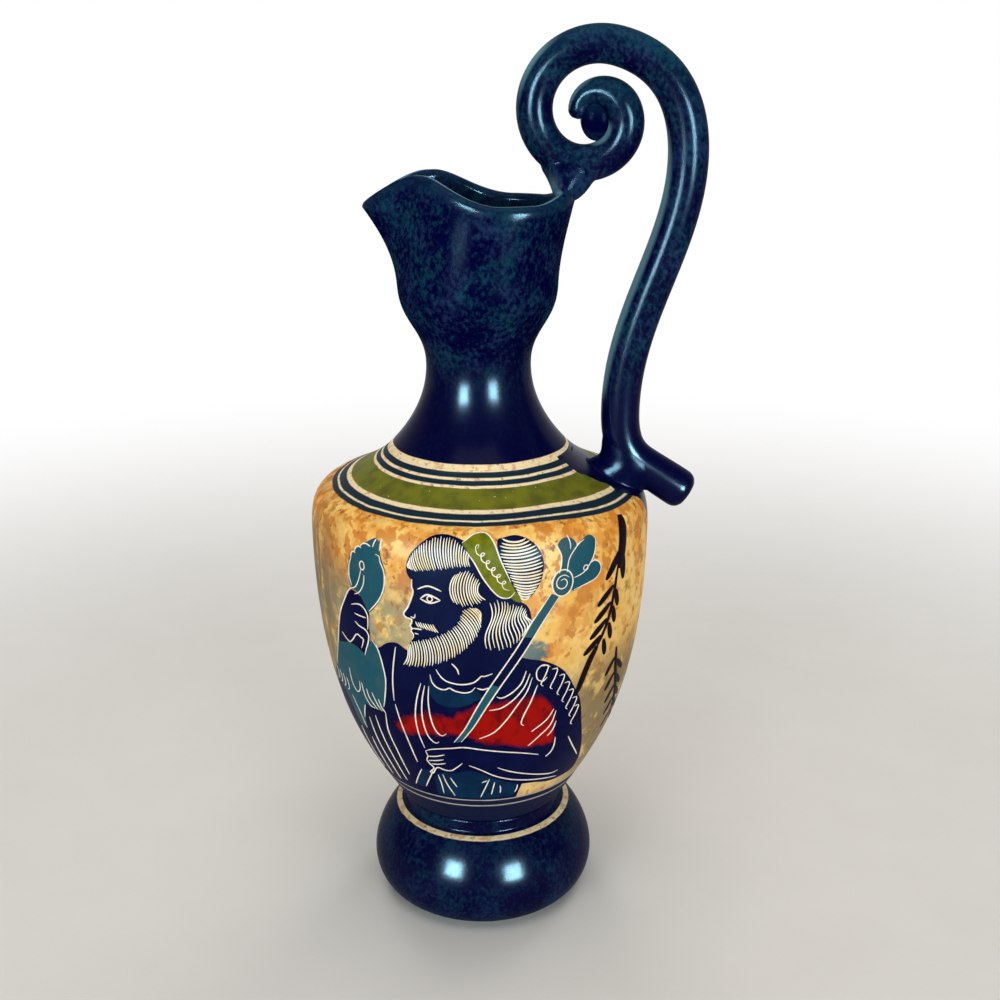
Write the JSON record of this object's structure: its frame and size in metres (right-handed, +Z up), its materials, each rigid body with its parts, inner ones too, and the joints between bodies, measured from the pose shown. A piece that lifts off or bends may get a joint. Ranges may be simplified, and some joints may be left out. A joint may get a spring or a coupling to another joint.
{
  "type": "ceramic pitcher",
  "caption": "Small hand-painted ceramic pitcher with a turned foot, round belly, narrow neck, pulled pouring beak and a rolled scroll handle that stands above the rim.",
  "frame": {"origin": "middle of the flat base of the foot, on the surface that the pitcher stands on", "axes": "+Z up along the pot's axis, +X towards the handle, -X towards the pouring beak, -Y towards the painted front"},
  "size_m": [0.0714, 0.063, 0.165],
  "materials": {
    "dark_glaze": "glossy blue-black glaze with a sponged teal mottle",
    "painted_clay": "mottled ochre and orange ground with painted bands and figure, satin varnish",
    "slip": "matt fired slip"
  },
  "bodies": {
    "root": {"foot": "dark_glaze", "foot_luting": "slip", "belly": "painted_clay", "neck_luting": "slip", "neck_and_mouth": "dark_glaze", "handle": "dark_glaze", "handle_root": "dark_glaze", "rim_wad": "dark_glaze"}
  },
  "joints": []
}
